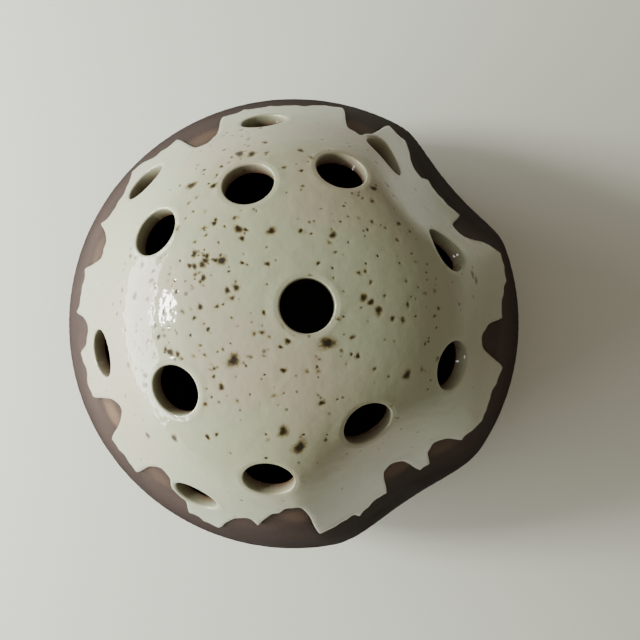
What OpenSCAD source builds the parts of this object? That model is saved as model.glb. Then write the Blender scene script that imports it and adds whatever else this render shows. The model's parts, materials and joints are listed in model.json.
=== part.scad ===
// Flower frog: a closed stoneware pot that stands in a bowl or on a table, holds a little
// water, and carries cut stems upright in the holes of its dome. The wall is thrown on a flat
// floor and closed over, pressed in twice on one side, pierced, and dipped upside down in
// glaze, which stops at a row of rounded dabs above the bare belly.
// The origin is the middle of the foot, on the table, with +Z up.

/* [Pot] */
// Greatest diameter of the pot, round its belly
pot_d = 99.6; // [80:0.1:120]
// Height from the table to the top of the glazed dome
pot_h = 82; // [68:0.5:110]
// Thickness of the clay wall
wall_t = 1.6; // [1.4:0.1:4]
// Thickness of the clay floor
floor_t = 5; // [3:0.5:8]
// Thickness of the glaze coat
glaze_t = 0.4; // [0.2:0.05:0.8]

/* [Dome] */
// Radius of the curve over the crown
crown_r = 57.5; // [45:0.5:70]
// Slope at which the crown turns into the shoulder, in degrees
crown_slope = 13; // [8:1:18]
// Radius of the shoulder's curve
shoulder_r = 26.5; // [20:0.5:32]
// Slope at which the shoulder turns into the long flank, in degrees
shoulder_slope = 53; // [48:1:58]
// Slope at which the flank turns into the belly, in degrees
flank_slope = 69; // [65:1:74]
// Radius of the belly's curve above its widest line
belly_r = 26; // [18:0.5:32]

/* [Foot] */
// Outer diameter of the foot ring
foot_d = 70; // [54:0.5:86]
// Width of the foot ring from outside to inside
foot_w = 6; // [4:0.5:10]
// Height of the foot ring
foot_h = 4; // [2:0.5:6]

/* [Dents] */
// Direction of the deep dent, anticlockwise from +X, in degrees
deep_dent_turn = 41; // [0:1:359]
// Radius of the round bar that pressed the deep dent
deep_dent_r = 41; // [30:0.5:60]
// Distance from the pot's axis to the bar's near side, at dent_drop below the top
deep_dent_in = 34; // [30:0.1:42]
// Lean of the bar away from the upright, in degrees
deep_dent_lean = 26; // [20:1:36]
// Direction of the shallow dent, anticlockwise from +X, in degrees
long_dent_turn = 303; // [0:1:359]
// Radius of the round bar that pressed the shallow dent
long_dent_r = 32; // [24:0.5:60]
// Distance from the pot's axis to the bar's near side, at dent_drop below the top
long_dent_in = 34.6; // [30:0.1:42]
// Lean of the bar away from the upright, in degrees
long_dent_lean = 29; // [20:1:36]
// Depth below the top of the dome at which both distances are measured
dent_drop = 29; // [20:0.5:36]

/* [Stem holes] */
// Finished diameter of each stem hole, inside its glaze
stem_d = 7.8; // [5:0.1:10]

/* [Glaze edge] */
// How far the glaze reaches below the top of the dome
glaze_drop = 34; // [24:0.5:44]
// Number of round dabs along the glaze edge
dab_count = 18; // [12:1:22]
// Radius of the larger dabs
dab_r = 6; // [3:0.1:7]
// Radius of the smaller dabs between them
small_dab_r = 4.5; // [2:0.1:6]

/* [Hidden] */

$fn = 72;
slope_step = 5;
foot_edge = 1;
// The underside of the clay is flat a little past the foot ring.
foot_ledge = 1.5;
// How far each drill reaches in and out from the round dome, enough for the dents too
drill_in = 18;
drill_out = 8;
// The dabs start well inside the wall.
dab_start = pot_d / 4;

// Each stem hole is drilled square to the round dome, at a direction round the pot and at the
// slope of the surface there: one at the crown, six round it and seven along the shoulder.
stem_holes = [
    [21, 3],
    [107, 30], [148, 39], [214, 29], [263, 43], [306, 31], [70, 38],
    [98, 57], [137, 57], [191, 55], [242, 57], [343, 47], [23, 50], [60, 56]
];

clay_top = pot_h - glaze_t;
floor_top = foot_h + floor_t;
base_r = foot_d / 2 + foot_ledge;

// The profile from the top down to the widest line is four arcs, each carrying on where the last
// one ended. The flank's radius is whatever brings the belly out to pot_d.
flank_r = (pot_d / 2 - crown_r * sin(crown_slope)
    - shoulder_r * (sin(shoulder_slope) - sin(crown_slope))
    - belly_r * (1 - sin(flank_slope))) / (sin(flank_slope) - sin(shoulder_slope));
arc_radii = [crown_r, shoulder_r, flank_r, belly_r];
arc_slopes = [0, crown_slope, shoulder_slope, flank_slope, 90];

// What one arc adds sideways and downwards, from the slope where it starts to this slope
function arc_out(i, slope) = let (s = max(arc_slopes[i], min(slope, arc_slopes[i + 1])))
    arc_radii[i] * (sin(s) - sin(arc_slopes[i]));
function arc_down(i, slope) = let (s = max(arc_slopes[i], min(slope, arc_slopes[i + 1])))
    arc_radii[i] * (cos(arc_slopes[i]) - cos(s));

function total(list, i = 0) = i < len(list) ? list[i] + total(list, i + 1) : 0;

// The point of the dome's clay at a slope, moved out square to the surface by grow
function dome_point(slope, grow = 0) = [
    total([for (i = [0:3]) arc_out(i, slope)]) + grow * sin(slope),
    clay_top - total([for (i = [0:3]) arc_down(i, slope)]) + grow * cos(slope)
];

// Below the widest line the heel is a quarter of an ellipse that turns under to the flat base.
widest = dome_point(90);
heel_out = widest[0] - base_r;
heel_up = widest[1] - foot_h;
function heel_point(turn, grow = 0) = let (
        across = cos(turn) / heel_out,
        down = sin(turn) / heel_up,
        size = sqrt(across * across + down * down)
    ) [
        base_r + heel_out * cos(turn) + grow * across / size,
        widest[1] - heel_up * sin(turn) - grow * down / size
    ];

function pot_profile(grow, low) = concat(
    [[0, low], [0, dome_point(0, grow)[1]]],
    [for (s = [slope_step:slope_step:90]) dome_point(s, grow)],
    [for (t = [15:15:90]) heel_point(t, grow)],
    [[base_r, low]]
);

module pot_solid(grow, low) {
    rotate_extrude() polygon(pot_profile(grow, low));
}

// One leaning round bar, whose near side is at distance in from the pot's axis
module press_bar(turn, r, in, lean) {
    rotate([0, 0, turn])
        translate([in + r / cos(lean), 0, clay_top - dent_drop])
            rotate([0, -lean, 0])
                cylinder(r = r, h = 3 * pot_h, center = true);
}

// The two bars that pressed the soft wall in, made thicker by grow
module press_bars(grow) {
    press_bar(deep_dent_turn, deep_dent_r + grow, deep_dent_in - grow / cos(deep_dent_lean), deep_dent_lean);
    press_bar(long_dent_turn, long_dent_r + grow, long_dent_in - grow / cos(long_dent_lean), long_dent_lean);
}

// The whole pot with its dents, as one solid lump whose surface is moved out by grow
module dented_pot(grow, low) {
    difference() {
        pot_solid(grow, low);
        press_bars(-grow);
    }
}

module stem_drills() {
    for (h = stem_holes) let (p = dome_point(h[1]))
        rotate([0, 0, h[0]])
            translate([p[0], 0, p[1]])
                rotate([0, h[1], 0])
                    translate([0, 0, -drill_in])
                        cylinder(d = stem_d, h = drill_in + drill_out);
}

module floor_disc() {
    translate([0, 0, foot_h]) cylinder(d = foot_d, h = floor_t);
}

// The thrown wall, with the dome that closes it
module clay_wall() {
    color("#5d4b46")
        difference() {
            dented_pot(0, foot_h);
            intersection() {
                dented_pot(-wall_t, foot_h);
                translate([0, 0, floor_top]) cylinder(d = pot_d, h = pot_h);
            }
            floor_disc();
            stem_drills();
        }
}

// The disc of clay that the wall rises from
module floor_slab() {
    color("#4a3a35") floor_disc();
}

// The ring that the pot stands on, with its lower edges taken off
module foot_ring() {
    inner_r = foot_d / 2 - foot_w;
    outer_r = foot_d / 2;
    color("#53423d")
        rotate_extrude()
            polygon([
                [inner_r, foot_h], [inner_r, foot_edge], [inner_r + foot_edge, 0],
                [outer_r - foot_edge, 0], [outer_r, foot_edge], [outer_r, foot_h]
            ]);
}

// The rounded dabs along the glaze edge, each one a round bar laid outwards from the pot
module edge_dabs(edge_z) {
    for (i = [0:dab_count - 1])
        rotate([0, 0, i * 360 / dab_count])
            translate([dab_start, 0, edge_z])
                rotate([0, 90, 0])
                    cylinder(r = i % 2 == 0 ? dab_r : small_dab_r, h = pot_d);
}

// The fired glaze over the dome
module glaze_coat() {
    edge_z = clay_top - glaze_drop;
    color("#dcd8c4")
        difference() {
            intersection() {
                dented_pot(glaze_t, foot_h);
                translate([0, 0, edge_z]) cylinder(d = 2 * pot_d, h = pot_h);
            }
            dented_pot(0, foot_h);
            edge_dabs(edge_z);
            stem_drills();
        }
}

clay_wall();
floor_slab();
foot_ring();
glaze_coat();
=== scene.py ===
"""A flower frog: a closed stoneware pot, pressed in twice on one side, whose speckle-glazed dome is
pierced with fourteen stem holes. Lengths are in millimetres until a mesh is made, in metres."""

import json
import math

import bpy
import numpy as np
from mathutils import Matrix, Vector, geometry


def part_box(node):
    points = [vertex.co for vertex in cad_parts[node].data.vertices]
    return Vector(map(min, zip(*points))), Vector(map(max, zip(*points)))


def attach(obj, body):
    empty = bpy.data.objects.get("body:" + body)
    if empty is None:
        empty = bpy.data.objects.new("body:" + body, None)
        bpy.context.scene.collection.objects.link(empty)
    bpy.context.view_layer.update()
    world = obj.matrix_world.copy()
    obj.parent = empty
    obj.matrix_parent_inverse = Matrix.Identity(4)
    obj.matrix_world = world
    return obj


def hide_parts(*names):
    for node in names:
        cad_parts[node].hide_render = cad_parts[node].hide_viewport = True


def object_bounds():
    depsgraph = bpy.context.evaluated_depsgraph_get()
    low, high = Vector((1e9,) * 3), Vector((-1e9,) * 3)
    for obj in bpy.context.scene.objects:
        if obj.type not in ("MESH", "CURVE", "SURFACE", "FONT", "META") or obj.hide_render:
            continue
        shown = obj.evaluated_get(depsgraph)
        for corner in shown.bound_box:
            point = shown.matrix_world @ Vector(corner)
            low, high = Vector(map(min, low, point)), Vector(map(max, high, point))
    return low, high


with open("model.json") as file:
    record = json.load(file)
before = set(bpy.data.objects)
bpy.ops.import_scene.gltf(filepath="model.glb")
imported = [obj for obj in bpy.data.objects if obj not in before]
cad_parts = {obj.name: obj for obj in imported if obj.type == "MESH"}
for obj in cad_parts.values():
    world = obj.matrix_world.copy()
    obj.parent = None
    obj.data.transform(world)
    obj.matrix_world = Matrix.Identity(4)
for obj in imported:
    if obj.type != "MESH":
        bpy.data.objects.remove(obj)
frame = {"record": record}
cad_low, cad_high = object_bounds()

# Camera and stage ---------------------------------------------------------------------------------
# A camera close above the pot, so the dome's flanks are seen at a steep slant. The pot stands on a
# pale matt table, with a broad window low on its left and a little light from the rest of the room.
# The camera's height above the pot's top, its place aside from the axis and its small turns, in
# degrees about X and Y
CAMERA_OVER_TOP = 89.4
CAMERA_ASIDE = (3.18, -3.28)
CAMERA_TURN = (1.51, -0.91)
LENS = SENSOR = 36
NEAREST_SEEN, FARTHEST_SEEN = 4, 20000
TABLE_SIZE = 3000
# Each light's direction and rise in degrees, distance, width, height, and power in watts: the window,
# its brightest pane, the lit sill below that pane, and the pale wall and ceiling above
LIGHTS = {
    "window": (183, 9, 400, 560, 190, 5.8),
    "bright_pane": (175, 35, 396, 80, 52, 2),
    "lit_sill": (174, 23, 392, 110, 9, 0.25),
    "pale_wall": (180, 52, 900, 1000, 1000, 1.2),
}
ROOM_LIGHT = 0.38


def shade(hex_colour):
    """An sRGB hex colour as the linear colour that shaders and lights use."""
    parts = [int(hex_colour[i:i + 2], 16) / 255 for i in (1, 3, 5)]
    return [c / 12.92 if c <= 0.04045 else ((c + 0.055) / 1.055) ** 2.4 for c in parts] + [1.0]


def add_node(tree, kind, inputs=None, **settings):
    """Adds one node. settings are its own properties. inputs are numbers, colours or the output
    sockets that feed it, by the name or the number of the input."""
    made = tree.nodes.new(kind)
    for name, value in settings.items():
        setattr(made, name, value)
    for name, value in (inputs or {}).items():
        if isinstance(value, bpy.types.NodeSocket):
            tree.links.new(value, made.inputs[name])
        else:
            made.inputs[name].default_value = value
    return made


def bare_material(name):
    """A new material with only its output node, as (material, node tree, surface socket)."""
    material = bpy.data.materials.new(name)
    material.use_nodes = True
    material.node_tree.nodes.clear()
    output = material.node_tree.nodes.new("ShaderNodeOutputMaterial")
    return material, material.node_tree, output.inputs["Surface"]


def link_object(name, data):
    """Puts data into the scene as an object of that name."""
    made = bpy.data.objects.new(name, data)
    bpy.context.scene.collection.objects.link(made)
    return made


lens = bpy.data.cameras.new("phone_lens")
lens.lens, lens.sensor_width = LENS, SENSOR
lens.clip_start, lens.clip_end = NEAREST_SEEN / 1000, FARTHEST_SEEN / 1000
camera = link_object("camera", lens)
camera_at = (CAMERA_ASIDE[0] / 1000, CAMERA_ASIDE[1] / 1000, cad_high.z + CAMERA_OVER_TOP / 1000)
camera.matrix_world = (
    Matrix.Translation(camera_at)
    @ Matrix.Rotation(math.radians(CAMERA_TURN[0]), 4, "X")
    @ Matrix.Rotation(math.radians(CAMERA_TURN[1]), 4, "Y")
)
bpy.context.scene.camera = camera

table_mesh = bpy.data.meshes.new("table")
half = TABLE_SIZE / 2000
table_mesh.from_pydata(
    [(-half, -half, 0), (half, -half, 0), (half, half, 0), (-half, half, 0)], [], [(0, 1, 2, 3)])
table = link_object("table", table_mesh)
table_paint, tree, surface = bare_material("matt_table_paint")
paint = add_node(tree, "ShaderNodeBsdfPrincipled", {
    "Base Color": shade("#CBCCC3"), "Roughness": 0.75, "Specular IOR Level": 0.2})
tree.links.new(paint.outputs[0], surface)
table_mesh.materials.append(table_paint)

for name, (aside, rise, away, width, height, power) in LIGHTS.items():
    glow = bpy.data.lights.new(name, "AREA")
    glow.shape = "RECTANGLE"
    glow.size, glow.size_y = width / 1000, height / 1000
    glow.energy = power
    glow.color = shade("#FCFFFA")[:3]
    pane = link_object(name, glow)
    aside, rise = math.radians(aside), math.radians(rise)
    outwards = Vector((math.cos(aside) * math.cos(rise), math.sin(aside) * math.cos(rise), math.sin(rise)))
    pane.location = outwards * (away / 1000) + Vector((0, 0, cad_high.z / 2))
    pane.rotation_mode = "QUATERNION"
    pane.rotation_quaternion = outwards.to_track_quat("Z", "Y")

room = bpy.data.worlds.new("room")
room.use_nodes = True
room.node_tree.nodes["Background"].inputs["Color"].default_value = shade("#EEE2CC")
room.node_tree.nodes["Background"].inputs["Strength"].default_value = ROOM_LIGHT
bpy.context.scene.world = room

# Clay wall ----------------------------------------------------------------------------------------
# One thrown and closed wall of dark, iron-bearing stoneware, 1.6 mm thick, from the crown round to the
# base. While it was soft it was pressed in twice on one side, and when it was firm the holes were cut.
# It is bare below the glaze, where it fires to a dull mauve-brown.
POT_H = 82
GLAZE = 0.4
WALL = 1.6
# Radii of the outline's arcs, but for the flank's, and the slopes in degrees between which they run
CROWN_R, SHOULDER_R, BELLY_R = 57.5, 26.5, 26
ARC_SLOPES = [0, 13, 53, 69, 90]
DOME_STEPS, HEEL_STEPS = 900, 360
# How far the flat base reaches past the foot ring
LEDGE = 1.5
# Each hole's clay is this much wider than the finished hole, which leaves room for the glaze
LIP = 0.32
# How far from its outer end a hole's own side of the pot reaches
HOLE_DEPTH = 15
# Two of the directions round each hole are measured from this one, which runs along no hole
ANY_SIDE = [0.2, 0.97, 0.1]
RING_POINTS = 56
BASE_POINTS = 240
# Distance between the skins' points, and the least room between those and the ones already set
CLAY_SPACING = 1.25
INSIDE_SPACING = 1.8
CLEAR_SHARE = 0.45
FINE_ROOM = 0.2
RIM_ROOM = 0.15
SAME_POINT = 1e-6
# The rings of points nearest to each hole, on the outside and on the inside
OUTER_RING, INNER_RING = 0.8, 1
# The wheel's fine grooves on the belly, which begin and end softly
MARK_HEIGHT = 0.05
MARK_PITCH = 2.6
MARK_DRIFT = 0.8
MARKS_START, MARKS_FADE_IN, MARKS_FADE_OUT = 60, 10, 5
CLAY_CREASE = 40
# The bars that pressed it: direction, radius, distance of the near side from the axis at DENT_DROP
# below the top, lean from the upright, and how softly the clay turns over at the dent's edge
DENT_DROP = 29
DENTS = [(40.7, 41.3, 34.0, 25.6, 0.8), (302.9, 30.6, 35.4, 28.7, 3.5)]
# A bar has no effect from the side where it isn't, nor within this radius of the crown's middle
FACING = 0.3
CALM_CROWN = 10
FAR = 1e3
# ring_on starts from the directions seen from this far below the top of the clay, and then steps
GUESS_DROP = 50
NEWTON_STEPS = 8
TINY_STEP = 1e-3
LONGEST_STEP = 2
BATCHES = 24

clay_box, floor_box, foot_box = (
    np.array(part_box(n)) * 1000 for n in ("clay_wall", "floor_slab", "foot_ring"))
pot_r = clay_box[1][0]
foot_h = foot_box[1][2]
floor_top = floor_box[1][2]
floor_r = floor_box[1][0]
base_r = floor_r + LEDGE
clay_top = POT_H - GLAZE

holes = [m for m in frame["record"]["mounts"] if m["kind"] == "bore"]
hole_r = holes[0]["dims"]["r_mm"]
hole_at = np.array([m["pos_m"] for m in holes]) * 1000
hole_axis = np.array([m["axis"] for m in holes])
hole_axis /= np.linalg.norm(hole_axis, axis=1, keepdims=True)
hole_u = np.cross(hole_axis, ANY_SIDE)
hole_u /= np.linalg.norm(hole_u, axis=1, keepdims=True)
hole_v = np.cross(hole_axis, hole_u)
ring_turns = np.arange(RING_POINTS) * 2 * np.pi / RING_POINTS


def outline():
    """The pot's outline from the middle of the crown to the edge of the base, as arrays of radius,
    height, normal and length along it. Down to the widest line it is four arcs, each starting at
    the slope where the last one ended: an arc of radius r adds r times the change in the slope's
    sine sideways and in its cosine downwards. Below that it is a quarter of an ellipse."""
    slope = np.radians(np.linspace(0, 90, DOME_STEPS + 1))
    ends = np.radians(ARC_SLOPES)
    flank_r = ((pot_r - CROWN_R * np.sin(ends[1]) - SHOULDER_R * (np.sin(ends[2]) - np.sin(ends[1]))
                - BELLY_R * (1 - np.sin(ends[3]))) / (np.sin(ends[3]) - np.sin(ends[2])))
    x, z = np.zeros_like(slope), np.full_like(slope, clay_top)
    for r, a, b in zip((CROWN_R, SHOULDER_R, flank_r, BELLY_R), ends[:-1], ends[1:]):
        part = np.clip(slope, a, b)
        x += r * (np.sin(part) - np.sin(a))
        z -= r * (np.cos(a) - np.cos(part))
    turn = np.radians(np.linspace(0, 90, HEEL_STEPS + 1))[1:]
    out, up = x[-1] - base_r, z[-1] - foot_h
    x_all = np.concatenate([x, base_r + out * np.cos(turn)])
    z_all = np.concatenate([z, z[-1] - up * np.sin(turn)])
    across, down = np.cos(turn) / out, -np.sin(turn) / up
    size = np.hypot(across, down)
    nx = np.concatenate([np.sin(slope), across / size])
    nz = np.concatenate([np.cos(slope), down / size])
    step = np.hypot(np.diff(x_all), np.diff(z_all))
    return x_all, z_all, nx, nz, np.concatenate([[0], np.cumsum(step)])


line_x, line_z, line_nx, line_nz, line_s = outline()


def bar_face(turn, z, grow, dent):
    """How far from the pot's axis, at each direction and height, the near face of a leaning round
    bar lies: the smaller root of the quadratic for a level ray that meets the bar's cylinder. The
    bar is thinner by grow, and where a ray passes it by the distance is FAR."""
    az, radius, near, lean, _ = dent
    lean = np.radians(lean)
    ca = np.cos(turn - np.radians(az))
    dx, dz = np.sin(lean), -np.cos(lean)
    axis_r = near + radius / np.cos(lean)
    rise = z - (clay_top - DENT_DROP)
    a = 1 - (ca * dx) ** 2
    along = rise * dz - axis_r * dx
    b = -2 * axis_r * ca - 2 * ca * dx * along
    c = axis_r ** 2 + rise ** 2 - along ** 2 - (radius - grow) ** 2
    disc = b * b - 4 * a * c
    near_root = (-b - np.sqrt(np.maximum(disc, 0))) / (2 * a)
    return np.where((disc > 0) & (ca > FACING), near_root, FAR)


def pot_surface(pq, grow):
    """Points of the dented pot's surface, moved out by grow. pq is a flat map of the pot as if it
    were peeled: the distance from its middle is the length along the outline from the crown, and
    the direction is the direction round the pot. The outline's radius and each bar's face are
    joined by a soft minimum, r - k log(1 + exp((r - v) / k)), which fades out at the crown."""
    length, turn = np.hypot(pq[:, 0], pq[:, 1]), np.arctan2(pq[:, 1], pq[:, 0])
    plain = np.interp(length, line_s, line_x) + grow * np.interp(length, line_s, line_nx)
    z = np.interp(length, line_s, line_z) + grow * np.interp(length, line_s, line_nz)
    r = plain
    for dent in DENTS:
        k = dent[4]
        r = r - k * np.logaddexp(0, (r - bar_face(turn, z, grow, dent)) / k)
    r = plain + (r - plain) * np.clip(plain / CALM_CROWN, 0, 1) ** 2
    return np.stack([r * np.cos(turn), r * np.sin(turn), z], 1)


def ring_on(radius, grow):
    """For every stem hole, the flat-map points where lines parallel to its axis, at this radius and
    at RING_POINTS directions round it, meet the surface: an array of holes x points x 2. A first
    guess, from the angle about a point inside the pot, is mended by Newton steps."""
    circle = radius * np.stack([np.cos(ring_turns), np.sin(ring_turns)], 1)
    start = hole_at[:, None] + circle[None, :, :1] * hole_u[:, None] + circle[None, :, 1:] * hole_v[:, None]
    inside_z = clay_top - GUESS_DROP
    angle = np.arctan2(np.hypot(start[..., 0], start[..., 1]), start[..., 2] - inside_z)
    length = np.interp(angle, np.arctan2(line_x, line_z - inside_z), line_s)
    turn = np.arctan2(start[..., 1], start[..., 0])
    pq = np.stack([length * np.cos(turn), length * np.sin(turn)], -1)

    def miss(at):
        gap = pot_surface(at.reshape(-1, 2), grow).reshape(at.shape[:2] + (3,)) - hole_at[:, None]
        sides = np.stack([(gap * hole_u[:, None]).sum(-1), (gap * hole_v[:, None]).sum(-1)], -1)
        return sides - circle[None]

    for _ in range(NEWTON_STEPS):
        off = miss(pq)
        by_p = (miss(pq + [TINY_STEP, 0]) - off) / TINY_STEP
        by_q = (miss(pq + [0, TINY_STEP]) - off) / TINY_STEP
        det = by_p[..., 0] * by_q[..., 1] - by_q[..., 0] * by_p[..., 1]
        step = np.stack([off[..., 0] * by_q[..., 1] - by_q[..., 0] * off[..., 1],
                         by_p[..., 0] * off[..., 1] - off[..., 0] * by_p[..., 1]], -1) / det[..., None]
        pq = pq - np.clip(step, -LONGEST_STEP, LONGEST_STEP)
    return pq


def nearest(points, others):
    """The distance from each point to the nearest of the others, worked out in batches."""
    batches = np.array_split(points, BATCHES)
    squares = [((b ** 2).sum(1)[:, None] + (others ** 2).sum(1) - 2 * b @ others.T).min(1) for b in batches]
    return np.sqrt(np.maximum(np.concatenate(squares), 0))


def from_holes(points):
    """The distance from each point to the nearest stem hole's axis, on that hole's own side."""
    gap = points[:, None] - hole_at[None]
    along = (gap * hole_axis).sum(-1)
    away = np.sqrt(np.maximum((gap ** 2).sum(-1) - along ** 2, 0))
    return np.where(along > -HOLE_DEPTH, away, FAR).min(1)


def pierced_skin(grow, radii, rim, spacing, extra):
    """Triangles over the flat map, out to the closed line rim, with a round gap at every stem hole.
    The points are rings of these radii round each hole, the rim, the extra points and a lattice of
    equal triangles, joined by a Delaunay triangulation that keeps the rim and the innermost rings.
    None lies so near to the rim that it could fall between the rim's curve and its straight steps.
    Gives the points, the triangles, the innermost ring of each hole and the rim, as indices."""
    rings = np.stack([ring_on(r, grow) for r in radii], 1)
    fixed = np.concatenate([rings.reshape(-1, 2), rim])
    reach = np.hypot(rim[:, 0], rim[:, 1]).max()
    rows = np.arange(-reach, reach, spacing * math.sqrt(3) / 2)
    across = np.arange(-reach, reach, spacing)
    grid_p = across[None] + (np.arange(len(rows)) % 2)[:, None] * spacing / 2
    grid = np.stack([grid_p.ravel(), np.repeat(rows, len(across))], 1)
    if len(extra):
        grid = grid[nearest(grid, extra) > CLEAR_SHARE * spacing]
    room = np.concatenate([np.full(len(extra), FINE_ROOM), np.full(len(grid), spacing / 2)])
    grid = np.concatenate([extra, grid])
    rim_turn = np.arctan2(rim[:, 1], rim[:, 0])
    order = np.argsort(rim_turn)
    rim_length = np.hypot(rim[:, 0], rim[:, 1])[order]

    def inside(at, margin):
        turn = np.arctan2(at[:, 1], at[:, 0])
        limit = np.interp(turn, rim_turn[order], rim_length, period=2 * np.pi) - margin
        return np.hypot(at[:, 0], at[:, 1]) < limit

    within = inside(grid, RIM_ROOM)
    room, grid = room[within], grid[within]
    clear = (from_holes(pot_surface(grid, grow)) > radii[-1] + room) & (nearest(grid, rim) > room)
    points = np.concatenate([fixed, grid[clear]])
    first = np.arange(len(holes))[:, None] * len(radii) * RING_POINTS + np.arange(RING_POINTS)
    rim_at = len(holes) * len(radii) * RING_POINTS + np.arange(len(rim))
    kept = [np.stack([loop, np.roll(loop, -1)], 1) for loop in [*first, rim_at]]
    edges = np.concatenate(kept).tolist()
    found = geometry.delaunay_2d_cdt([Vector(p) for p in points], edges, [], 0, SAME_POINT)
    origin = np.array([o[0] for o in found[3]])
    triangles = origin[np.array(found[2])]
    hole_of = np.full(len(points), -1)
    hole_of[first.ravel()] = np.repeat(np.arange(len(holes)), RING_POINTS)
    corners = hole_of[triangles]
    gap = (corners[:, 0] >= 0) & (corners[:, 0] == corners[:, 1]) & (corners[:, 1] == corners[:, 2])
    on_rim = np.isin(triangles, rim_at).all(1)
    outside = on_rim & ~inside(points[triangles].mean(1), 0)
    return points, triangles[~(gap | outside)], first, rim_at


def strip(ring, following):
    """Two triangles between each neighbouring pair of points on two rings. Seen from the side that
    faces out, the rings run anticlockwise and the following ring lies inside the first."""
    a, b = np.roll(ring, -1), np.roll(following, -1)
    return np.concatenate([np.stack([ring, a, b], 1), np.stack([ring, b, following], 1)])


def make_piece(name, points, triangles, material, values, sharp):
    """A smooth-shaded mesh object from points in millimetres, with one number a point for each named
    value, and with edges over sharp degrees left crisp."""
    mesh = bpy.data.meshes.new(name)
    mesh.from_pydata((points / 1000).tolist(), [], triangles.tolist())
    for key, numbers in values.items():
        stored = mesh.attributes.new(key, "FLOAT", "POINT")
        stored.data.foreach_set("value", numbers.astype(np.float32))
    mesh.shade_smooth()
    mesh.set_sharp_from_angle(angle=math.radians(sharp))
    mesh.materials.append(material)
    mesh.update()
    return link_object(name, mesh)


def circle_map(length, count):
    """A circle of that radius on the flat map."""
    turn = np.arange(count) * 2 * np.pi / count
    return length * np.stack([np.cos(turn), np.sin(turn)], 1)


def level_ring(radius, z):
    """A level ring round the pot's axis, with BASE_POINTS points."""
    return np.concatenate([circle_map(radius, BASE_POINTS), np.full((BASE_POINTS, 1), z)], 1)


# The clay's own colour follows the line where the glaze stops. The glaze reaches to GLAZE_REACH along
# the outline from the crown, and stops short at each dab of wax resist: direction, width on either
# side in degrees, and how far from the crown the dab's head lies.
GLAZE_REACH = 62
EDGE_STEPS = 3600
DAB_SQUARE = 2.3
POINT_BLUNT = 15
HOLE_MARGIN = 0.9
# Slow waves of the line: height, number round the pot and start
EDGE_WAVES = [(0.4, 23, 1), (0.35, 57, 0), (0.25, 101, 2)]
DABS = [
    (2, 5, 5, 48), (6, 4, 4, 51), (13, 9, 7, 56), (22, 4, 4, 53), (27, 4.5, 4.5, 46), (35, 3.5, 4, 66),
    (43, 7, 6, 64), (51, 3.5, 3.5, 56), (56, 3.5, 4, 61), (63, 4, 5, 56), (70, 5.5, 6, 40), (80, 6, 6, 56),
    (95, 17, 13, 52.5), (108, 6, 5, 52), (116, 6.5, 6.5, 38), (127, 6.5, 7, 50), (133, 5.5, 5, 55),
    (147, 9.5, 8.5, 47), (160, 6.5, 6.5, 40), (172, 9.5, 8, 48.5), (184, 6, 5.5, 43), (193, 7, 7, 48.5),
    (200, 6, 6, 50), (208, 6.5, 5, 36.5), (219, 10, 8, 51.5), (230, 5, 6.5, 40), (236, 5, 5.5, 44),
    (243, 4, 4, 54), (248, 3.5, 3.5, 55), (257, 6, 6, 44), (272, 12.5, 4.5, 36), (280, 6, 5, 52),
    (284, 5, 4.5, 53), (294, 6, 7, 57.5), (304, 5, 5.5, 44), (313, 4, 4.5, 56), (319, 5, 6, 45),
    (328, 7, 6, 50), (340, 13, 10, 51), (354, 6.5, 6.5, 38),
]


def glaze_edge():
    """How far from the crown the glaze reaches, at EDGE_STEPS directions. Each dab bites a rounded gap,
    an ellipse with a slightly square head, out of the glaze, a running mean blunts the points between
    them, and slow waves make the line uneven. No dab comes nearer to a hole than its margin: there
    the line follows the far side of a ring round the hole, found where the ring's short straight
    pieces cross each direction."""
    turn = np.arange(EDGE_STEPS) * np.pi / (EDGE_STEPS // 2)
    degrees = np.degrees(turn)
    line = np.full_like(degrees, GLAZE_REACH)
    for at, before, after, reach in DABS:
        off = (degrees - at + 180) % 360 - 180
        part = np.clip(np.abs(off) / np.where(off < 0, before, after), 0, 1)
        head = (1 - part ** DAB_SQUARE) ** (1 / DAB_SQUARE)
        line = np.minimum(line, GLAZE_REACH - (GLAZE_REACH - reach) * head)
    line = np.mean([np.roll(line, i) for i in range(-(POINT_BLUNT // 2), POINT_BLUNT // 2 + 1)], axis=0)
    line += sum(height * np.sin(count * turn + start) for height, count, start in EDGE_WAVES)
    loops = ring_on(hole_r + LIP + HOLE_MARGIN, 0)
    loop_turn, loop_length = np.arctan2(loops[..., 1], loops[..., 0]), np.hypot(loops[..., 0], loops[..., 1])
    for start, length in zip(loop_turn[1:], loop_length[1:]):
        side = (turn[:, None] - start + np.pi) % (2 * np.pi) - np.pi
        ahead = (turn[:, None] - np.roll(start, -1) + np.pi) % (2 * np.pi) - np.pi
        between = (side * ahead <= 0) & (np.abs(side - ahead) < 1)
        part = np.where(between, side / np.where(between, side - ahead, 1), 0)
        crossing = np.where(between, length * (1 - part) + np.roll(length, -1) * part, 0)
        line = np.maximum(line, crossing.max(1))
    return turn, line


edge_turn, edge_length = glaze_edge()

clay, tree, surface = bare_material("bare_satin_stoneware")
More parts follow.
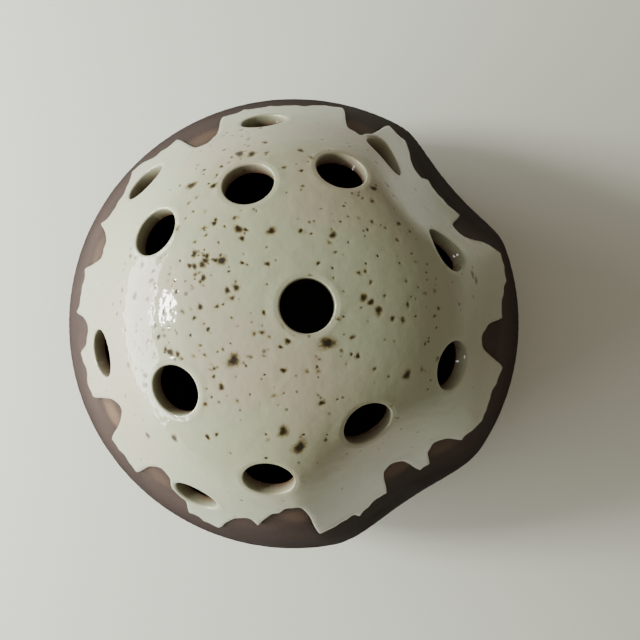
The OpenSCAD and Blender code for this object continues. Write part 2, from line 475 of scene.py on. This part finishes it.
# Unglazed stoneware, fired dense and rubbed smooth: a fine dark grain with next to no gloss, mottled
# mauve and brown. Where wax was brushed on it is greyer and lighter, which is a painted sheen. In every
# material a pattern's Scale is 1000 over its size in millimetres.
place = add_node(tree, "ShaderNodeTexCoord").outputs["Object"]
mottle = add_node(tree, "ShaderNodeTexNoise", {"Vector": place, "Scale": 1000 / 9, "Detail": 4.0})
grain = add_node(tree, "ShaderNodeTexNoise", {"Vector": place, "Scale": 1000 / 0.7, "Detail": 3.0})
body = add_node(tree, "ShaderNodeMix", {0: mottle.outputs["Fac"], 6: shade("#231B1B"), 7: shade("#322725")},
                data_type="RGBA")
wax_sheen = add_node(tree, "ShaderNodeAttribute", attribute_name="wax_sheen")
wax_break = add_node(tree, "ShaderNodeMapRange", {
    "Value": mottle.outputs["Fac"], "From Min": 0.3, "From Max": 0.62, "To Min": 0.45, "To Max": 1.0})
wax_sheen_share = add_node(tree, "ShaderNodeMath", {0: wax_sheen.outputs["Fac"], 1: wax_break.outputs[0]},
                     operation="MULTIPLY")
# Painted sheen: the wax dabs are mixed towards a lighter grey, strongest just under the glaze line
wax_and_sheen = add_node(tree, "ShaderNodeMix", {
    0: wax_sheen_share.outputs[0], 6: body.outputs[2], 7: shade("#453A36")}, data_type="RGBA")
# Lighter tan patches on some dabs: partly thin glaze streaks, partly painted reflection
tan = add_node(tree, "ShaderNodeAttribute", attribute_name="tan")
tan_and_glint = add_node(tree, "ShaderNodeMix", {
    0: tan.outputs["Fac"], 6: wax_and_sheen.outputs[2], 7: shade("#6A5747")}, data_type="RGBA")
dark = add_node(tree, "ShaderNodeAttribute", attribute_name="inside")
with_inside = add_node(tree, "ShaderNodeMix", {
    0: dark.outputs["Fac"], 6: tan_and_glint.outputs[2], 7: shade("#241A15")}, data_type="RGBA")
flecks = add_node(tree, "ShaderNodeMapRange", {
    "Value": grain.outputs["Fac"], "From Min": 0.58, "From Max": 0.72, "To Min": 0.0, "To Max": 0.35})
flecked = add_node(tree, "ShaderNodeMix", {
    0: flecks.outputs[0], 6: with_inside.outputs[2], 7: shade("#1C1615")}, data_type="RGBA")
satin = add_node(tree, "ShaderNodeMapRange", {
    "Value": mottle.outputs["Fac"], "From Min": 0.3, "From Max": 0.7, "To Min": 0.6, "To Max": 0.75})
relief = add_node(tree, "ShaderNodeBump", {
    "Height": grain.outputs["Fac"], "Strength": 0.35, "Distance": 0.0001})
clay_skin = add_node(tree, "ShaderNodeBsdfPrincipled", {
    "Base Color": flecked.outputs[2], "Roughness": satin.outputs[0], "Normal": relief.outputs[0],
    "Specular IOR Level": 0.02})
tree.links.new(clay_skin.outputs[0], surface)


# The painted sheen on the wax dabs shows from the glaze down to WAX_END along the outline, and fades over
# WAX_FADE
WAX_END, WAX_FADE, WAX_UNDER_GLAZE = 68, 16, 1.5
# Tan patches on some dabs, partly thin streaks of glaze and partly painted reflection: direction, length from
# the crown, size and strength
TAN_STREAKS_AND_GLINTS = [(208, 43, 3.2, 0.8), (116, 43, 4, 0.35), (161, 45, 3, 0.3), (272, 41, 3, 0.45),
               (305, 49, 4, 0.6), (319, 50, 4, 0.35), (230, 46, 3, 0.25), (71, 45, 4, 0.35)]


def build_clay_wall():
    """The outer skin, the inner skin WALL inside it, the walls of the holes between them, and at the
    base a strip that turns under to the seat of the floor and back up to the inner skin. The marks
    are a sine of the length along the outline over their pitch. Each tan patch, partly thin glaze and
    partly painted reflection, has a strength that falls off as exp(-(distance / size) ** 4)."""
    bore_r = hole_r + LIP
    outer_pq, outer, outer_rings, outer_rim = pierced_skin(
        0, (bore_r, bore_r + OUTER_RING), circle_map(line_s[-1], BASE_POINTS), CLAY_SPACING, np.zeros((0, 2)))
    length, turn = np.hypot(outer_pq[:, 0], outer_pq[:, 1]), np.arctan2(outer_pq[:, 1], outer_pq[:, 0])
    fade_in = np.clip((length - MARKS_START) / MARKS_FADE_IN, 0, 1)
    shown = fade_in * np.clip((line_s[-1] - length) / MARKS_FADE_OUT, 0, 1)
    marks = MARK_HEIGHT * np.sin(2 * np.pi * (length + MARK_DRIFT * np.sin(turn)) / MARK_PITCH)
    outer_at = pot_surface(outer_pq, shown * marks)
    inner_z = line_z - WALL * line_nz
    inner_end = np.interp(-floor_top, -inner_z, line_s)
    inner_line = circle_map(inner_end, BASE_POINTS)
    inner_pq, inner, inner_rings, inner_rim = pierced_skin(
        -WALL, (bore_r, bore_r + INNER_RING), inner_line, INSIDE_SPACING, np.zeros((0, 2)))
    inner_at = pot_surface(inner_pq, -WALL)
    base = [level_ring(floor_r, foot_h), level_ring(floor_r, floor_top)]
    points = np.concatenate([outer_at, inner_at, *base])
    inner_start = len(outer_at)
    base_start = inner_start + len(inner_at)
    seat = [base_start + np.arange(BASE_POINTS), base_start + BASE_POINTS + np.arange(BASE_POINTS)]
    chain = [outer_rim, *seat, inner_start + inner_rim]
    triangles = [outer, inner_start + inner[:, ::-1]]
    triangles += [strip(a, inner_start + b) for a, b in zip(outer_rings, inner_rings)]
    triangles += [strip(b, a) for a, b in zip(chain[:-1], chain[1:])]
    below = length - np.interp(turn, edge_turn, edge_length, period=2 * np.pi)
    wax_sheen_value = np.zeros(len(points))
    # The wax dabs' painted sheen: full just under the glaze line, fading down the outline
    wax_fades = np.clip((WAX_END - length) / WAX_FADE, 0, 1)
    wax_sheen_value[:inner_start] = wax_fades * np.clip(below / WAX_UNDER_GLAZE + 1, 0, 1)
    tan_and_glint_value = np.zeros(len(points))
    for at, reach, size, strength in TAN_STREAKS_AND_GLINTS:
        spot = pot_surface(reach * np.array([[math.cos(math.radians(at)), math.sin(math.radians(at))]]), 0)
        away = np.linalg.norm(outer_at - spot, axis=1) / size
        tan_and_glint_value[:inner_start] = np.maximum(tan_and_glint_value[:inner_start], strength * np.exp(-away ** 4))
    inside_value = np.zeros(len(points))
    inside_value[inner_start:] = 1
    return points, np.concatenate(triangles), {"wax_sheen": wax_sheen_value, "tan": tan_and_glint_value, "inside": inside_value}


clay_points, clay_triangles, clay_values = build_clay_wall()
clay_wall = make_piece(
    "thrown_clay_wall", clay_points, clay_triangles, clay, clay_values, CLAY_CREASE)
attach(clay_wall, "root")
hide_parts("clay_wall")

# Floor disc ---------------------------------------------------------------------------------------
# The flat disc of the same clay that the wall was raised on. Its top keeps the low spiral that the
# fingers left, and its underside the tool's finer spiral, seen inside the foot ring.
SPIRAL_PITCH = 5
SPIRAL_HEIGHT = 0.25
TOOL_PITCH = 1.6
TOOL_HEIGHT = 0.08
SPIRAL_FADE = 3
FLOOR_RINGS = 90
FLOOR_MIDDLE = 0.5

raw_clay, tree, surface = bare_material("raw_dark_stoneware")
# The same clay where no hand smoothed it: dry, dull and dark brown.
place = add_node(tree, "ShaderNodeTexCoord").outputs["Object"]
mottle = add_node(tree, "ShaderNodeTexNoise", {"Vector": place, "Scale": 1000 / 6, "Detail": 5.0})
grain = add_node(tree, "ShaderNodeTexNoise", {"Vector": place, "Scale": 1000 / 0.6, "Detail": 2.0})
body = add_node(tree, "ShaderNodeMix", {0: mottle.outputs["Fac"], 6: shade("#2E211B"), 7: shade("#4D3A31")},
                data_type="RGBA")
relief = add_node(tree, "ShaderNodeBump", {
    "Height": grain.outputs["Fac"], "Strength": 0.5, "Distance": 0.0001})
raw_skin = add_node(tree, "ShaderNodeBsdfPrincipled", {
    "Base Color": body.outputs[2], "Roughness": 0.8, "Normal": relief.outputs[0]})
tree.links.new(raw_skin.outputs[0], surface)


def build_floor_disc():
    """A disc of rings. The height of its top is a sine of radius over pitch less the turn, which
    makes a spiral, and its underside has a finer one. Both fade at the middle and at the edge."""
    radii = np.linspace(FLOOR_MIDDLE, floor_r, FLOOR_RINGS)[:, None]
    turn = (np.arange(BASE_POINTS) * 2 * np.pi / BASE_POINTS)[None]
    fade = np.clip((floor_r - radii) / SPIRAL_FADE, 0, 1) * np.clip(radii / SPIRAL_FADE, 0, 1)
    top = floor_top - SPIRAL_HEIGHT * fade * (0.5 + 0.5 * np.sin(2 * np.pi * radii / SPIRAL_PITCH - turn))
    low = foot_h + TOOL_HEIGHT * fade * (0.5 + 0.5 * np.sin(2 * np.pi * radii / TOOL_PITCH - turn))
    x, y = radii * np.cos(turn), radii * np.sin(turn)
    grids = [np.stack([x, y, z], -1).reshape(-1, 3) for z in (top, low)]
    points = np.concatenate([*grids, [[0, 0, floor_top], [0, 0, foot_h]]])
    rings = np.arange(len(radii) * BASE_POINTS).reshape(-1, BASE_POINTS)
    under = len(grids[0]) + rings
    triangles = [strip(b, a) for a, b in zip(rings[:-1], rings[1:])]
    triangles += [strip(a, b) for a, b in zip(under[:-1], under[1:])]
    triangles.append(strip(under[-1], rings[-1]))
    centre = np.full(BASE_POINTS, 2 * len(grids[0]))
    triangles.append(np.stack([rings[0], np.roll(rings[0], -1), centre], 1))
    triangles.append(np.stack([np.roll(under[0], -1), under[0], centre + 1], 1))
    return points, np.concatenate(triangles)


floor_disc = make_piece("clay_floor_disc", *build_floor_disc(), raw_clay, {}, CLAY_CREASE)
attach(floor_disc, "root")
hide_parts("floor_slab")

# Foot ring ----------------------------------------------------------------------------------------
# The low ring that the pot stands on, trimmed on the wheel and sanded after firing, so its edges are
# soft and its bottom is a little paler and smoother than the wall.
FOOT_W = 6
FOOT_EDGE = 1
FOOT_PROFILE = 10

foot_clay, tree, surface = bare_material("sanded_stoneware_foot")
# Sanding opens the grain and leaves pale dust in it, so the foot is lighter and quite dull.
place = add_node(tree, "ShaderNodeTexCoord").outputs["Object"]
mottle = add_node(tree, "ShaderNodeTexNoise", {"Vector": place, "Scale": 1000 / 4, "Detail": 4.0})
grain = add_node(tree, "ShaderNodeTexNoise", {"Vector": place, "Scale": 1000 / 0.5, "Detail": 2.0})
body = add_node(tree, "ShaderNodeMix", {0: mottle.outputs["Fac"], 6: shade("#4E403B"), 7: shade("#6B5A53")},
                data_type="RGBA")
relief = add_node(tree, "ShaderNodeBump", {
    "Height": grain.outputs["Fac"], "Strength": 0.3, "Distance": 0.0001})
foot_skin = add_node(tree, "ShaderNodeBsdfPrincipled", {
    "Base Color": body.outputs[2], "Roughness": 0.7, "Normal": relief.outputs[0]})
tree.links.new(foot_skin.outputs[0], surface)


def build_foot_ring():
    """A closed ring: a rectangle whose two lower corners are quarter circles, turned round the axis."""
    inner_r, outer_r = floor_r - FOOT_W, floor_r
    bend = np.radians(np.linspace(0, 90, FOOT_PROFILE))
    r = np.concatenate([[inner_r], inner_r + FOOT_EDGE * (1 - np.cos(bend)),
                        outer_r - FOOT_EDGE * (1 - np.sin(bend)), [outer_r]])
    z = np.concatenate([[foot_h], FOOT_EDGE * (1 - np.sin(bend)), FOOT_EDGE * (1 - np.cos(bend)), [foot_h]])
    turn = (np.arange(BASE_POINTS) * 2 * np.pi / BASE_POINTS)[None]
    points = np.stack([r[:, None] * np.cos(turn), r[:, None] * np.sin(turn),
                       np.broadcast_to(z[:, None], (len(r), BASE_POINTS))], -1).reshape(-1, 3)
    rings = np.arange(len(points)).reshape(-1, BASE_POINTS)
    return points, np.concatenate([strip(a, b) for a, b in zip(rings, np.roll(rings, -1, axis=0))])


foot_ring = make_piece("trimmed_foot_ring", *build_foot_ring(), foot_clay, {}, CLAY_CREASE)
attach(foot_ring, "root")
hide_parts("foot_ring")

# Glaze --------------------------------------------------------------------------------------------
# A glossy cream glaze, 0.4 mm thick, that the fired dome was dipped in. It rounds over every lip and
# runs down inside the holes, and it stops with a rounded edge at the wax dabs. Iron in the clay has
# bled through it as rusty specks.
GLAZE_SPACING = 0.8
UNDER_SPACING = 1.9
# The underside lies this far inside the clay, so that no gap shows
UNDER = 0.1
# The edge is rounded over this width, with a low bead behind it
EDGE_ROUND = 0.7
EDGE_BEAD, BEAD_WIDTH = 0.12, 1.6
EDGE_STEP = 0.5
EDGE_LINES = (0.28, 0.62)
LINE_SHARE = 0.93
# Each hole's lip stands up a little, LIP_CREST out from where the glaze turns down into the hole
LIP_RISE, LIP_CREST, LIP_WIDTH = 0.07, 0.5, 0.32
LIP_RINGS = (0, 0.2, 0.4, 0.62)
UNDER_RING = 0.5
LIP_STEPS = 5
SLEEVE_STEPS = 7
GLAZE_CREASE = 50
# The glaze is thin enough to show brown at its edge. Down each hole it turns more and more brown, partly as
# thinner glaze and partly as painted shade
THIN_EDGE, THIN_WIDTH = 0.75, 0.35
THIN_LIP, THIN_SLEEVE_AND_SHADE = 0.1, 0.85
# Iron sinks in by IRON_PIT for each radius from a speck's edge inwards. Its halo ends at HALO_END.
IRON_PIT = 0.02
IRON_END = 2
HALO_END = 1.2
# Speck sizes: smallest radius and range of the scattered ones, what the main ones' radii are
# multiplied by, the most that a speck under FAINT_SPECK can fade, and how far its mesh reaches
SPECK_SEED = 11
SCATTER_LEAST, SCATTER_RANGE = 0.22, 0.3
MAIN_SPREAD = 1.25
FAINT_SPECK, MOST_FAINT = 0.5, 0.75
SMALL_SPECK = 0.3
SPECK_MESH = 1.3
# How uneven a speck's edge is, for two and for three waves round it
SPECK_WAVES = (0.16, 0.1)
# The largest specks: direction, length from the crown and radius
MAIN_SPECKS = [(324, 7, 1.0), (221, 10, 0.9), (268, 17, 0.8), (275, 20, 1.0), (333, 20, 0.65),
               (291, 14, 0.45), (141, 12, 0.7), (120, 14, 0.6), (107, 28, 0.7), (103, 27, 0.65),
               (101, 12, 0.6), (120, 23, 0.55), (127, 26, 0.75), (147, 14, 0.45), (150, 14, 0.5),
               (153, 15, 0.45), (147, 16, 0.45), (157, 13, 0.45), (129, 17, 0.4), (228, 14, 0.45),
               (203, 24, 0.5), (206, 25, 0.5), (198, 18, 0.55), (161, 24, 0.45), (173, 24, 0.5),
               (86, 27, 0.45), (98, 30, 0.45), (60, 13, 0.5), (56, 24, 0.5), (53, 28, 0.5),
               (2, 13, 0.6), (12, 11, 0.55), (8, 12, 0.45), (47, 6, 0.4), (58, 6, 0.4), (229, 8, 0.35),
               (13, 35, 0.6), (11, 36, 0.6), (227, 27, 0.6), (220, 33, 0.6), (153, 8, 0.5), (159, 9, 0.45)]
# Clouds of smaller ones: direction and length of the middle, spread and number
SPECK_CLOUDS = [(150, 18, 12, 80), (110, 22, 11, 44), (200, 14, 11, 46), (195, 22, 6, 24), (300, 8, 8, 22),
                (20, 20, 13, 34), (60, 20, 11, 26), (335, 22, 10, 22), (250, 14, 10, 16), (105, 36, 5, 14),
                (90, 2, 40, 90)]

speckled_glaze, tree, surface = bare_material("speckled_cream_glaze")
# A milky body under a thin clear layer. The body scatters light widely, by a roughness that drifts,
# and the clear coat over it is smooth, so the window shows in it. A faint ripple like orange peel
# runs through both. It has slow drifts of green and pink, and turns brown where it is thin. Down the
# holes the brown deepens, partly thinner glaze and partly painted shade.
place = add_node(tree, "ShaderNodeTexCoord").outputs["Object"]
drift = add_node(tree, "ShaderNodeTexNoise", {"Vector": place, "Scale": 1000 / 30, "Detail": 2.0})
blush = add_node(tree, "ShaderNodeTexNoise", {"Vector": place, "Scale": 1000 / 17, "Detail": 3.0})
cream = add_node(tree, "ShaderNodeMix", {0: drift.outputs["Fac"], 6: shade("#9B9A80"), 7: shade("#8F977F")},
                 data_type="RGBA")
blush_share = add_node(tree, "ShaderNodeMapRange", {
    "Value": blush.outputs["Fac"], "From Min": 0.46, "From Max": 0.68, "To Min": 0.0, "To Max": 0.6})
blushed = add_node(tree, "ShaderNodeMix", {
    0: blush_share.outputs[0], 6: cream.outputs[2], 7: shade("#A08F7E")}, data_type="RGBA")
# Pin-point specks, at most one in each 1.6 mm cell, of uneven size and denser in loose clouds
points_map = add_node(tree, "ShaderNodeTexVoronoi", {"Vector": place, "Scale": 1000 / 1.6})
chance = add_node(tree, "ShaderNodeSeparateColor", {0: points_map.outputs["Color"]})
cloud = add_node(tree, "ShaderNodeMapRange", {
    "Value": blush.outputs["Fac"], "From Min": 0.35, "From Max": 0.6, "To Min": 0.1, "To Max": 0.24})
pin_size = add_node(tree, "ShaderNodeMapRange", {
    "Value": chance.outputs[0], "From Min": 0.3, "From Max": 1.0, "To Min": 0.0, "To Max": cloud.outputs[0]})
closeness = add_node(tree, "ShaderNodeMath", {0: pin_size.outputs[0], 1: points_map.outputs["Distance"]},
                     operation="SUBTRACT")
pin_specks = add_node(tree, "ShaderNodeMapRange", {
    "Value": closeness.outputs[0], "From Min": 0.0, "From Max": 0.06, "To Min": 0.0, "To Max": 0.8})
pinned = add_node(tree, "ShaderNodeMix", {
    0: pin_specks.outputs[0], 6: blushed.outputs[2], 7: shade("#57523A")}, data_type="RGBA")
# The larger specks' distance, made uneven by a fine noise: a rusty halo round a near-black middle
iron = add_node(tree, "ShaderNodeAttribute", attribute_name="iron")
crumble = add_node(tree, "ShaderNodeTexNoise", {"Vector": place, "Scale": 1000 / 0.55, "Detail": 3.0})
iron_edge = add_node(tree, "ShaderNodeMath", {0: crumble.outputs["Fac"], 1: 0.5}, operation="SUBTRACT")
iron_rough = add_node(tree, "ShaderNodeMath", {0: iron_edge.outputs[0], 1: 0.8, 2: iron.outputs["Fac"]},
                      operation="MULTIPLY_ADD")
halo = add_node(tree, "ShaderNodeMapRange", {
    "Value": iron_rough.outputs[0], "From Min": HALO_END, "From Max": 0.55, "To Min": 0.0, "To Max": 0.9})
core = add_node(tree, "ShaderNodeMapRange", {
    "Value": iron_rough.outputs[0], "From Min": 0.85, "From Max": 0.35, "To Min": 0.0, "To Max": 0.97})
rusty = add_node(tree, "ShaderNodeMix", {
    0: halo.outputs[0], 6: pinned.outputs[2], 7: shade("#655628")}, data_type="RGBA")
spotted = add_node(tree, "ShaderNodeMix", {
    0: core.outputs[0], 6: rusty.outputs[2], 7: shade("#1A1007")}, data_type="RGBA")
# Brown at the thin glaze edge, and down each hole a brown that deepens with depth: thinner glaze and painted
# shade
thin_and_shade = add_node(tree, "ShaderNodeAttribute", attribute_name="thin_and_shade")
thin_and_shaded = add_node(tree, "ShaderNodeMix", {
    0: thin_and_shade.outputs["Fac"], 6: spotted.outputs[2], 7: shade("#54382A")}, data_type="RGBA")
ripple = add_node(tree, "ShaderNodeTexNoise", {"Vector": place, "Scale": 1000 / 2.2, "Detail": 2.0})
peel = add_node(tree, "ShaderNodeBump", {
    "Height": ripple.outputs["Fac"], "Strength": 0.45, "Distance": 0.0002})
polish = add_node(tree, "ShaderNodeMapRange", {
    "Value": blush.outputs["Fac"], "From Min": 0.3, "From Max": 0.7, "To Min": 0.36, "To Max": 0.5})
glaze_skin = add_node(tree, "ShaderNodeBsdfPrincipled", {
    "Base Color": thin_and_shaded.outputs[2], "Roughness": polish.outputs[0], "Normal": peel.outputs[0],
    "Specular IOR Level": 0.1, "Coat Weight": 0.7, "Coat Roughness": 0.065, "Coat IOR": 1.52,
    "Coat Normal": peel.outputs[0]})
tree.links.new(glaze_skin.outputs[0], surface)


def scatter_specks():
    """Every speck's place on the flat map, its radius and how faint it is: the main ones, then each
    cloud's, scattered by a normal spread about its middle, with sizes that fall off steeply."""
    draw = np.random.default_rng(SPECK_SEED)
    main = np.array(MAIN_SPECKS, float)
    turn = np.radians(main[:, 0])
    places = [main[:, 1:2] * np.stack([np.cos(turn), np.sin(turn)], 1)]
    sizes = [MAIN_SPREAD * main[:, 2]]
    for at, length, spread, count in SPECK_CLOUDS:
        middle = length * np.array([math.cos(math.radians(at)), math.sin(math.radians(at))])
        places.append(middle + draw.normal(0, spread / 2, (count, 2)))
        sizes.append(SCATTER_LEAST + SCATTER_RANGE * draw.random(count) ** 2)
    sizes = np.concatenate(sizes)
    faint = MOST_FAINT * draw.random(len(sizes)) * (sizes < FAINT_SPECK)
    return np.concatenate(places), sizes, faint


def speck_frames(places):
    """At each speck, the flat-map directions along the outline and round the pot, as unit steps on
    the real surface: a step round the pot is length over radius longer on the map."""
    length = np.hypot(places[:, 0], places[:, 1])
    along = places / length[:, None]
    stretch = length / np.interp(length, line_s, line_x)
    return along, np.stack([-along[:, 1], along[:, 0]], 1) * stretch[:, None]


def disc_points(rings):
    """The middle of a disc of radius one, and rings of six, twelve and so on points round it."""
    found = [np.zeros((1, 2))]
    for i in range(1, rings + 1):
        turn = np.arange(6 * i) * np.pi / (3 * i)
        found.append(i / rings * np.stack([np.cos(turn), np.sin(turn)], 1))
    return np.concatenate(found)


def iron_at(pq, places, sizes, faint):
    """How far each point is from the middle of a speck, as a share of that speck's radius: 0 in its
    middle, 1 at its uneven edge, whose radius follows waves round the speck, and at most IRON_END. A
    faint speck's distance starts at faint and still reaches HALO_END where the others' does, so it
    has a halo but no dark middle."""
    along, around = speck_frames(places)
    gap = pq[:, None] - places[None]
    a = (gap * along).sum(-1)
    b = (gap * around).sum(-1) / (around ** 2).sum(-1)
    turn = np.arctan2(b, a)
    phase = np.arange(len(places))
    double, triple = SPECK_WAVES
    edge = sizes * (1 + double * np.sin(2 * turn + phase) + triple * np.sin(3 * turn + 2.1 * phase))
    share = np.hypot(a, b) / edge * (HALO_END - faint) / HALO_END + faint
    return np.clip(share, 0, IRON_END).min(1)


def glaze_rim():
    """The glaze line as a closed line of points EDGE_STEP apart on the flat map, and the points of two
    lines at the depths of EDGE_LINES inside it, without those that a bend brings nearer to it."""
    rim = edge_length[:, None] * np.stack([np.cos(edge_turn), np.sin(edge_turn)], 1)
    step = np.linalg.norm(np.roll(rim, -1, axis=0) - rim, axis=1)
    walked = np.concatenate([[0], np.cumsum(step)])
    even = np.linspace(0, walked[-1], int(walked[-1] / EDGE_STEP), endpoint=False)
    closed = np.concatenate([rim, rim[:1]])
    rim = np.stack([np.interp(even, walked, closed[:, i]) for i in (0, 1)], 1)
    forward = np.roll(rim, -1, axis=0) - np.roll(rim, 1, axis=0)
    inward = np.stack([-forward[:, 1], forward[:, 0]], 1) / np.linalg.norm(forward, axis=1, keepdims=True)
    lines = []
    for depth in EDGE_LINES:
        line = rim + depth * inward
        lines.append(line[nearest(line, rim) > LINE_SHARE * depth])
    return rim, np.concatenate(lines)


def build_glaze():
    """The outer skin, the rounded lips, the sleeves down the holes, and an underside just below the
    clay's surface that meets the outer skin along the rounded edge. The skin's height over the clay
    is a quarter circle from that edge up, with a bead, a raised lip and sunken specks that fall off
    as exp(-(distance / width) ** 2) or with the distance. A lip is a quarter circle too, and a
    sleeve runs straight from it to the inner end of the hole."""
    rim, inner_lines = glaze_rim()
    places, sizes, faint = scatter_specks()
    along, around = speck_frames(places)
    extra = [inner_lines]
    for disc, chosen in ((disc_points(2), sizes < SMALL_SPECK), (disc_points(4), sizes >= SMALL_SPECK)):
        spread = disc[None, :, :1] * along[chosen, None] + disc[None, :, 1:] * around[chosen, None]
        extra.append((places[chosen, None] + SPECK_MESH * sizes[chosen, None, None] * spread).reshape(-1, 2))
    extra = np.concatenate(extra)
    lip_r = hole_r + LIP
    pq, outer, rings, rim_at = pierced_skin(
        GLAZE, [lip_r + ring for ring in LIP_RINGS], rim, GLAZE_SPACING, extra)
    plain = pot_surface(pq, 0)
    rim_solid = pot_surface(rim, 0)
    edge = nearest(plain, rim_solid)
    edge[rim_at] = 0
    part = np.clip(edge / EDGE_ROUND, 0, 1)
    rounding = np.sqrt(1 - (1 - part) ** 2)
    hole_away = from_holes(plain)
    iron_value = iron_at(pq, places, sizes, faint)
    bead = EDGE_BEAD * rounding * np.exp(-(edge / BEAD_WIDTH) ** 2)
    raised = LIP_RISE * np.exp(-((hole_away - lip_r - LIP_CREST) / LIP_WIDTH) ** 2)
    grow = -UNDER + (GLAZE + UNDER) * rounding + bead + raised - IRON_PIT * (IRON_END - iron_value)
    outer_at = pot_surface(pq, grow)
    bend = np.linspace(0, np.pi / 2, LIP_STEPS + 1)[1:]
    lip_radii = hole_r + LIP * (1 - np.sin(bend))
    drops = LIP * (1 - np.cos(bend))
    blocks, depth = [], []
    for radius, drop in zip(lip_radii, drops):
        ring = ring_on(radius, GLAZE)
        blocks.append(pot_surface(ring.reshape(-1, 2), GLAZE).reshape(ring.shape[:2] + (3,))
                      - drop * hole_axis[:, None])
        depth.append(0.0)
    inner_wall = pot_surface(ring_on(hole_r, -WALL).reshape(-1, 2), -WALL).reshape(blocks[-1].shape)
    for i in range(1, SLEEVE_STEPS + 1):
        part = i / SLEEVE_STEPS
        blocks.append(blocks[LIP_STEPS - 1] * (1 - part) + inner_wall * part)
        depth.append(part)
    end_ring = ring_on(lip_r, -WALL)
    blocks.append(pot_surface(end_ring.reshape(-1, 2), -WALL).reshape(blocks[-1].shape))
    depth.append(1.0)
    under_pq, under, under_rings, under_rim = pierced_skin(
        -UNDER, (lip_r, lip_r + UNDER_RING), rim, UNDER_SPACING, np.zeros((0, 2)))
    under_at = pot_surface(under_pq, -UNDER)
    points = np.concatenate([outer_at, *[b.reshape(-1, 3) for b in blocks], under_at])
    sleeve_start = len(outer_at) + np.arange(len(blocks)) * len(holes) * RING_POINTS
    under_start = len(outer_at) + len(blocks) * len(holes) * RING_POINTS
    renumber = under_start + np.arange(len(under_at))
    renumber[under_rim] = rim_at
    triangles = [outer, renumber[under][:, ::-1]]
    for i, ring in enumerate(rings):
        chain = [ring, *[s + i * RING_POINTS + np.arange(RING_POINTS) for s in sleeve_start],
                 renumber[under_rings[i]]]
        triangles += [strip(a, b) for a, b in zip(chain[:-1], chain[1:])]
    used = np.unique(np.concatenate(triangles))
    smaller = np.full(len(points), -1)
    smaller[used] = np.arange(len(used))
    thin_and_shade_value = np.zeros(len(points))
    thin_and_shade_value[:len(outer_at)] = THIN_EDGE * np.exp(-(edge / THIN_WIDTH) ** 2)
    # Down each hole the brown grows with depth, partly thinner glaze and partly painted shade
    for start, part in zip(sleeve_start, depth):
        thin_and_shade_value[start:start + len(holes) * RING_POINTS] = THIN_LIP + THIN_SLEEVE_AND_SHADE * part
    iron_all = np.full(len(points), float(IRON_END))
    iron_all[:len(outer_at)] = iron_value
    return (points[used], smaller[np.concatenate(triangles)],
            {"iron": iron_all[used], "thin_and_shade": thin_and_shade_value[used]})


glaze_points, glaze_triangles, glaze_values = build_glaze()
glaze = make_piece(
    "cream_glaze_coat", glaze_points, glaze_triangles, speckled_glaze, glaze_values, GLAZE_CREASE)
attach(glaze, "root")
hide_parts("glaze_coat")
